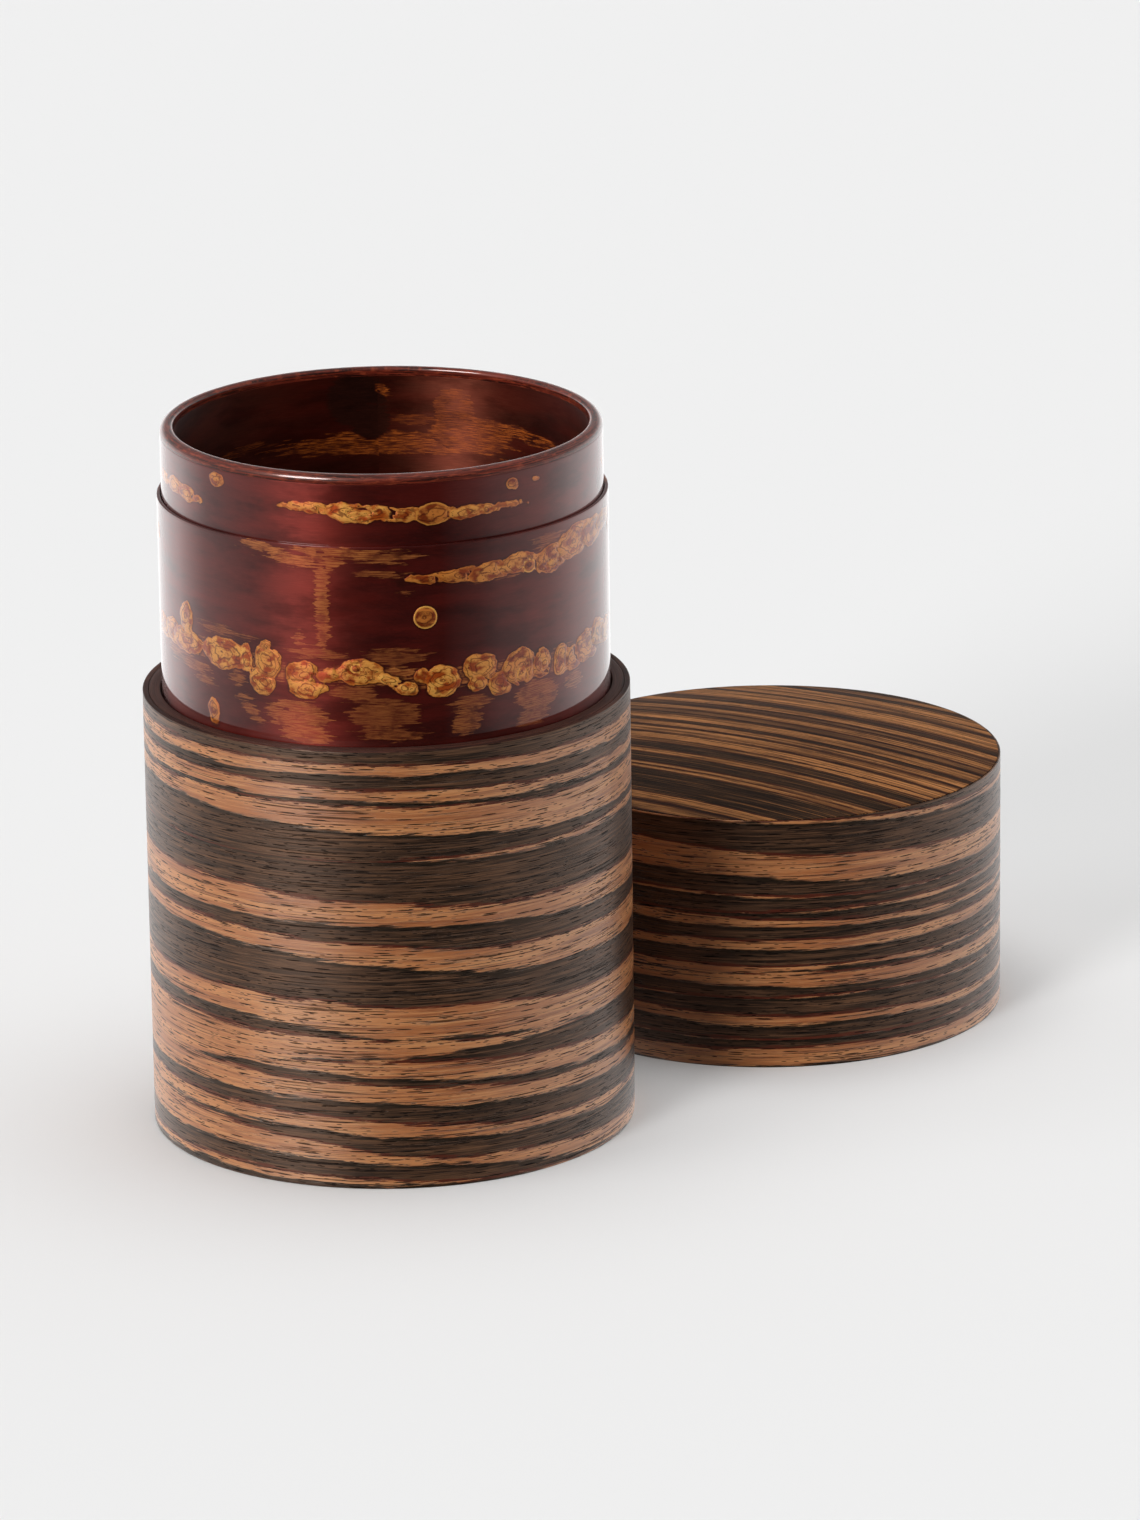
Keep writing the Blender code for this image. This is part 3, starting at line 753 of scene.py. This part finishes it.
veneer = striped_veneer("striped_veneer")
veneer_lid = striped_veneer("striped_veneer_lid", unevenness=0.6)
veneer_top = striped_veneer("striped_veneer_top", flat_top=True, unevenness=0.4)
bark = cherry_bark("cherry_bark")
bark_flat = cherry_bark("cherry_bark_flat", flat=True)
# The lining's darker colours are painted shade of the hollows it lines.
lining = cherry_bark("cherry_bark_lining", inside=True)
lining_flat = cherry_bark("cherry_bark_lining_flat", inside=True, flat=True)
lip = lip_bark()
rim_wood = stained_wood("rim_wood", srgb(92, 54, 42), srgb(46, 24, 18))
plain_wood = hidden_wood("plain_wood", srgb(74, 48, 36), srgb(44, 28, 22))
plain_bark = hidden_wood("plain_bark", srgb(84, 30, 20), srgb(44, 12, 9))


# Pieces ---------------------------------------------------------------

GLUE = 0.03  # gap between two wooden pieces glued together
CUP_GAP = 0.02  # gap under the cup's rim strip and round its floor
HIDDEN_LAP = 1.0  # how far a piece's full rows go on behind the piece that hides them
# Rounding of the edges of thin bark, of plain wood, of the neck and of the body's veneer.
BARK_EDGE, WOOD_EDGE, NECK_EDGE, BODY_EDGE = 0.05, 0.1, 0.12, 0.2
# Rounding of the cup's rim strip, towards the inside and the outside, and its straight steps.
LIP_INNER_ROUND, LIP_OUTER_ROUND = 0.6, 1.2
LIP_INNER_STEPS, LIP_OUTER_STEPS = 5, 9
# The lid's top is let into its side: thickness of the side round it, depth of the ledge, and of the top.
LAP, LEDGE, TOP_DEPTH = 0.35, 0.8, 0.78

# Rows down a piece's marked side, and rings across the cup's floor and the lid's crown.
BODY_ROWS, NECK_ROWS, BAND_ROWS, LINING_ROWS, LID_ROWS = 240, 280, 90, 60, 170
CUP_FLOOR_RINGS, CROWN_RINGS = 24, 30

# Marks on the back, made up: seed, heights of the chains of knots, and number of torn patches.
NECK_BACK = (11, (85.5, 102.0), 46)
BAND_BACK = (23, (112.0,), 22)


def finish_piece(obj, body, material, slot, *nodes):
    """Give a piece its material and its body, and hide the CAD nodes it stands in for. The slot is not used."""
    obj.data.materials.append(material)
    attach(obj, body)
    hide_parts(*nodes)


def build_flat_bark(name, disc, torn, body, material, slot, node, radius=None, rings=1):
    """A disc of bark. Its radius is the CAD disc's unless it is given."""
    outline = disc_outline(radius or disc.outer, disc.bottom, disc.top, rings)
    obj, surface = turn(name, outline, (disc.x, disc.y), COLUMNS_HIDDEN, closed=False)
    store_disc_bark(obj, surface, torn)
    finish_piece(obj, body, material, slot, node)


def build_body():
    centre = (body_wrap.x, body_wrap.y)
    bore = body_core.outer + GLUE
    outline = wall_outline(bore, body_wrap.outer, body_wrap.bottom, body_wrap.top, BODY_ROWS, BODY_EDGE)
    obj, surface = turn("body_veneer", outline, centre, COLUMNS_VENEER)
    store_stripes(obj, surface, BODY_STRIPES)
    finish_piece(obj, "caddy_body", veneer, "striped_veneer", "body_veneer_wrap")
    obj.data.materials.append(rim_wood)
    level_end = body_wrap.top - BODY_EDGE / 4
    for face in obj.data.polygons:
        if face.center.z > level_end * MM:
            face.material_index = 1

    outline = wall_outline(body_core.inner, body_core.outer, body_core.bottom, body_core.top, 1, WOOD_EDGE)
    obj, surface = turn("body_core", outline, centre, COLUMNS_HIDDEN)
    store_sheet(obj, surface.arc, surface.radius + surface.height)
    finish_piece(obj, "caddy_body", rim_wood, "core_wood", "body_core_tube")

    build_flat_bark("base_bark", base_disc, -1.3, "caddy_body", bark_flat, "cherry_bark", "base_bark_disc")


def build_neck():
    centre = (sleeve.x, sleeve.y)
    back_knots, back_patches = back_marks(*NECK_BACK)
    knots = back_knots + NECK_KNOTS
    patches = back_patches + NECK_PATCHES

    def relief(azimuth, height):
        depth, _ = mark_fields(azimuth, height, sleeve.outer, knots)
        return KNOT_RELIEF * np.clip(depth / KNOT_SHOULDER, 0.0, 1.0)

    def seen(radius, height):
        """Rows of the outer side behind the body's wall are left out, all but the lowest."""
        outer_side = radius > sleeve.outer - SAME
        return not outer_side or height > body_core.top - HIDDEN_LAP or height < sleeve.bottom + HIDDEN_LAP

    outline = wall_outline(sleeve.inner, sleeve.outer, sleeve.bottom, sleeve.top, NECK_ROWS, NECK_EDGE)
    outline = [point for point in outline if seen(*point)]
    obj, surface = turn("neck_sleeve", outline, centre, COLUMNS_BARK, relief=relief)
    store_bark(obj, surface, knots, patches)
    finish_piece(obj, "caddy_body", bark, "cherry_bark", "inner_sleeve")


def build_inner_lid():
    centre = (cup_wrap.x, cup_wrap.y)
    top = cup_lip.bottom - CUP_GAP
    back_knots, back_patches = back_marks(*BAND_BACK)
    outline = wall_outline(cup_wrap.inner, cup_wrap.outer, cup_wrap.bottom, top, BAND_ROWS, BARK_EDGE)
    obj, surface = turn("cup_wrap", outline, centre, COLUMNS_BARK)
    store_bark(obj, surface, back_knots + BAND_KNOTS, back_patches)
    finish_piece(obj, "inner_lid", bark, "cherry_bark", "inner_lid_bark_wrap")

    middle = (cup_lip.inner + LIP_INNER_ROUND, cup_lip.top - LIP_INNER_ROUND)
    outline = arc_points(middle, LIP_INNER_ROUND, 180, 90, LIP_INNER_STEPS)
    middle = (cup_lip.outer - LIP_OUTER_ROUND, cup_lip.top - LIP_OUTER_ROUND)
    outline += arc_points(middle, LIP_OUTER_ROUND, 90, 0, LIP_OUTER_STEPS)
    outline += [(cup_lip.outer, cup_lip.bottom), (cup_lip.inner, cup_lip.bottom)]
    obj, surface = turn("cup_rim_strip", outline, centre, COLUMNS_VENEER)
    store_sheet(obj, surface.arc, surface.radius - surface.height)
    finish_piece(obj, "inner_lid", lip, "cherry_bark", "inner_lid_rim_strip")

    outline = wall_outline(cup_lining.inner, cup_lining.outer, cup_lining.bottom, top, 2, BARK_EDGE)
    rows = np.linspace(cup_lining.bottom + WOOD_EDGE, cup_lip.bottom - WOOD_EDGE, LINING_ROWS)
    outline += [(cup_lining.inner, z) for z in rows]
    obj, surface = turn("cup_lining", outline, centre, COLUMNS_LINING)
    store_bark(obj, surface, [], CUP_PATCHES)
    finish_piece(obj, "inner_lid", lining, "bark_lining", "inner_lid_lining")

    build_flat_bark("cup_floor", cup_floor, -1.2, "inner_lid", lining_flat, "bark_lining", "inner_lid_floor_bark",
                    radius=cup_lining.inner - CUP_GAP, rings=CUP_FLOOR_RINGS)
    build_flat_bark("cup_base", cup_base, -1.3, "inner_lid", bark_flat, "cherry_bark", "inner_lid_base_bark")


def lid_edge_height():
    """Height of the domed top's edge: the highest point of the CAD top at its full radius."""
    points = cad_points("lid_top_veneer")
    radii = np.hypot(points[:, 0] - lid_top.x, points[:, 1] - lid_top.y)
    return float(points[radii > lid_top.outer - 0.2][:, 2].max())


def build_outer_lid():
    """The side's upper end is a ledge with a thin lap round it, and the top is let into it."""
    centre = (lid_wrap.x, lid_wrap.y)
    edge_height = lid_edge_height()
    lap = lid_wrap.outer - LAP
    bore = lid_core.outer + GLUE
    ledge = edge_height - LEDGE
    wall = wall_outline(bore, lid_wrap.outer, lid_wrap.bottom, edge_height, LID_ROWS, WOOD_EDGE)
    outline = [p for p in wall if p[0] > lap or p[1] < edge_height - HIDDEN_LAP]
    outline += [(bore, ledge), (lap, ledge), (lap, edge_height - WOOD_EDGE)]
    obj, surface = turn("lid_veneer", outline, centre, COLUMNS_VENEER)
    store_stripes(obj, surface, LID_STRIPES, LID_SHEET)
    finish_piece(obj, "outer_lid", veneer_lid, "striped_veneer", "lid_veneer_wrap")

    crown = lid_top.top - edge_height
    rim = lap - GLUE
    underside = edge_height - TOP_DEPTH
    radii = np.linspace(0.0, rim, CROWN_RINGS)
    outline = [(r, edge_height + crown * (1.0 - (r / lid_top.outer) ** 2)) for r in radii]
    outline += [(rim, underside), (0.0, underside)]
    obj, surface = turn("lid_top", outline, centre, COLUMNS_VENEER, closed=False)
    x, y = surface.flat()
    cos, sin = math.cos(math.radians(TOP_GRAIN)), math.sin(math.radians(TOP_GRAIN))
    store_sheet(obj, x * cos + y * sin, y * cos - x * sin + TOP_SHEET)
    finish_piece(obj, "outer_lid", veneer_top, "striped_veneer", "lid_top_veneer")

    outline = wall_outline(lid_lining.inner, lid_lining.outer, lid_lining.bottom, lid_lining.top, 1, BARK_EDGE)
    obj, surface = turn("lid_lining", outline, centre, COLUMNS_HIDDEN)
    store_bark(obj, surface, [], [])
    finish_piece(obj, "outer_lid", lining, "bark_lining", "lid_lining")

    build_flat_bark("lid_ceiling", lid_ceiling, -1.1, "outer_lid", lining_flat, "bark_lining", "lid_ceiling_bark")


def paint_hidden_nodes():
    """Give the CAD nodes that stay as they are, all out of sight, their materials."""
    for node in ("base_board", "inner_lid_core_ring", "inner_lid_board", "lid_core_tube", "lid_top_board"):
        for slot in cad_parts[node].material_slots:
            slot.material = plain_wood
    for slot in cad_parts["chamber_floor_bark"].material_slots:
        slot.material = plain_bark


# Studio ---------------------------------------------------------------

BACKGROUND = 0.863  # what the camera sees past the floor
FLOOR_ALBEDO = 0.81
FLOOR_REACH_METRES = 4.0

# Brightness round the studio, below and above the horizon: azimuth, brightness. The room lights matt
# surfaces. The cards are what a glossy surface mirrors.
ROOM_LOW = [(-180, 0.6), (-150, 0.3), (-100, 0.15), (-60, 0.05), (-20, 0.02), (20, 0.02), (50, 0.3), (80, 1.4),
            (120, 1.5), (180, 0.6)]
ROOM_HIGH = [(-180, 0.5), (-150, 0.4), (-120, 0.3), (-60, 0.1), (-20, 0.05), (20, 0.05), (50, 0.2), (80, 0.6),
             (120, 0.6), (180, 0.5)]
ROOM_TOP = 3.9
CARDS_LOW = [(-180, 1.4), (-130, 1.4), (-105, 0.65), (-80, 0.42), (-50, 0.18), (-28, 0.02), (28, 0.015),
             (48, 0.17), (60, 0.36), (90, 0.62), (115, 1.15), (180, 1.4)]
CARDS_HIGH = [(-180, 0.12), (-120, 0.5), (-70, 0.5), (-40, 0.3), (0, 0.03), (40, 0.08), (90, 0.3), (130, 0.4),
              (180, 0.12)]
CARDS_TOP = 0.2

# Lamps: name, strength, azimuth, elevation, width, and whether it only shows in the gloss. The others
# only light matt surfaces.
LAMPS = [
    ("key", 1.62, -36.0, 18.0, 18.0, False),
    ("side", 0.42, -74.0, 22.0, 30.0, False),
    ("streak", 3.0, -50.0, 42.0, 24.0, True),
]

CAMERA_METRES = (-0.0192, -1.3, 0.4579)
CAMERA_YAW_RADIANS, CAMERA_PITCH_RADIANS, CAMERA_ROLL_RADIANS = 0.0378, 0.297, 0.0138
CAMERA_LENS = 195.6
CAMERA_SENSOR = 36.0


def build_floor():
    mesh = bpy.data.meshes.new("floor")
    ends = (-FLOOR_REACH_METRES, FLOOR_REACH_METRES)
    corners = [(ends[0], ends[0], 0), (ends[1], ends[0], 0), (ends[1], ends[1], 0), (ends[0], ends[1], 0)]
    mesh.from_pydata(corners, [], [(0, 1, 2, 3)])
    floor = bpy.data.objects.new("floor", mesh)
    bpy.context.scene.collection.objects.link(floor)
    n = Material("pale_floor")
    n.set(Base_Color=(FLOOR_ALBEDO,) * 3 + (1.0,), Roughness=1.0, Specular_IOR_Level=0.0)
    mesh.materials.append(n.material)
    floor.visible_glossy = False
    floor.visible_diffuse = False


def build_world():
    """Studio seen three ways: plain to the camera, a soft room to the light, and bright cards to the gloss."""
    world = bpy.data.worlds.new("studio")
    bpy.context.scene.world = world
    world.use_nodes = True
    world.node_tree.nodes.clear()
    n = Nodes(world.node_tree)
    parts = n.add("ShaderNodeSeparateXYZ")
    n.link(n.add("ShaderNodeTexCoord").outputs["Generated"], parts.inputs[0])
    x, y, z = parts.outputs
    azimuth = n.math("ARCTAN2", x, n.math("MULTIPLY", y, -1.0))
    share = n.math("MULTIPLY_ADD", azimuth, 0.5 / math.pi, 0.5)
    above = n.step(z, -0.02, 0.3)
    room = n.mix(above, n.ramp(share, ROOM_LOW), n.ramp(share, ROOM_HIGH))
    room = n.mix(n.step(z, 0.84, 1.0), room, (ROOM_TOP,) * 3)
    cards = n.mix(above, n.ramp(share, CARDS_LOW), n.ramp(share, CARDS_HIGH))
    cards = n.mix(n.step(z, 0.5, 0.95), cards, (CARDS_TOP,) * 3)
    path = n.add("ShaderNodeLightPath")
    colour = n.mix(path.outputs["Is Glossy Ray"], room, cards)
    colour = n.mix(path.outputs["Is Camera Ray"], colour, (BACKGROUND,) * 3)
    background = n.add("ShaderNodeBackground")
    n.link(colour, background.inputs["Color"])
    output = n.add("ShaderNodeOutputWorld")
    n.link(background.outputs[0], output.inputs["Surface"])


def build_lamp(name, strength, azimuth, elevation, width, gloss_only):
    """A soft, distant lamp, so that it lights the floor evenly."""
    data = bpy.data.lights.new(name, "SUN")
    data.energy = strength
    data.angle = math.radians(width)
    obj = bpy.data.objects.new(name, data)
    bpy.context.scene.collection.objects.link(obj)
    a, e = math.radians(azimuth), math.radians(elevation)
    towards = Vector((math.sin(a) * math.cos(e), -math.cos(a) * math.cos(e), math.sin(e)))
    obj.location = towards
    obj.rotation_euler = towards.to_track_quat("Z", "Y").to_euler()
    obj.visible_glossy = gloss_only
    obj.visible_diffuse = not gloss_only


def build_camera():
    data = bpy.data.cameras.new("camera")
    data.sensor_width = CAMERA_SENSOR
    data.lens = CAMERA_LENS
    obj = bpy.data.objects.new("camera", data)
    bpy.context.scene.collection.objects.link(obj)
    obj.location = CAMERA_METRES
    facing = (Matrix.Rotation(-CAMERA_YAW_RADIANS, 4, "Z")
              @ Matrix.Rotation(math.pi / 2 - CAMERA_PITCH_RADIANS, 4, "X")
              @ Matrix.Rotation(-CAMERA_ROLL_RADIANS, 4, "Z"))
    obj.rotation_euler = facing.to_euler()
    bpy.context.scene.camera = obj


# Making ---------------------------------------------------------------

bpy.context.scene.view_settings.view_transform = "Standard"

build_camera()
build_body()
build_neck()
build_inner_lid()
build_outer_lid()
paint_hidden_nodes()
build_floor()
build_world()
for lamp in LAMPS:
    build_lamp(*lamp)
